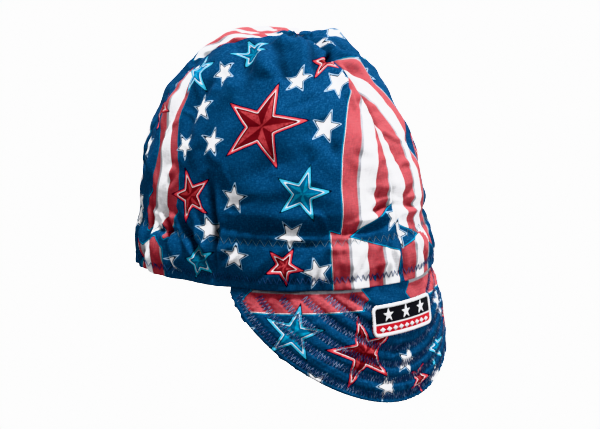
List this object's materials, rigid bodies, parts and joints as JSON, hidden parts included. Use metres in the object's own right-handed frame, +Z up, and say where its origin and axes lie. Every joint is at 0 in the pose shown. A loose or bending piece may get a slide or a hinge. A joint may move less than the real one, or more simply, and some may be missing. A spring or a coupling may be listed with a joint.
{
  "type": "welding cap",
  "caption": "Soft cotton welding cap in its worn form: panelled dome crown, turned-up stitched hem, quilted brim hanging at the front and a small sewn patch.",
  "frame": {"origin": "centre of the head opening, in the plane of the hem", "axes": "+Z up through the crown, -Y toward the front where the brim hangs, -X toward the wearer's right"},
  "size_m": [0.1702, 0.2006, 0.2155],
  "materials": {
    "crown_cloth": "matt printed cotton",
    "brim_cloth": "matt printed cotton, quilted",
    "patch_cloth": "embroidery with a slight sheen"
  },
  "bodies": {
    "root": {"crown_right": "crown_cloth", "crown_left": "crown_cloth", "crown_back": "crown_cloth", "brim": "brim_cloth", "patch": "patch_cloth"}
  },
  "joints": []
}
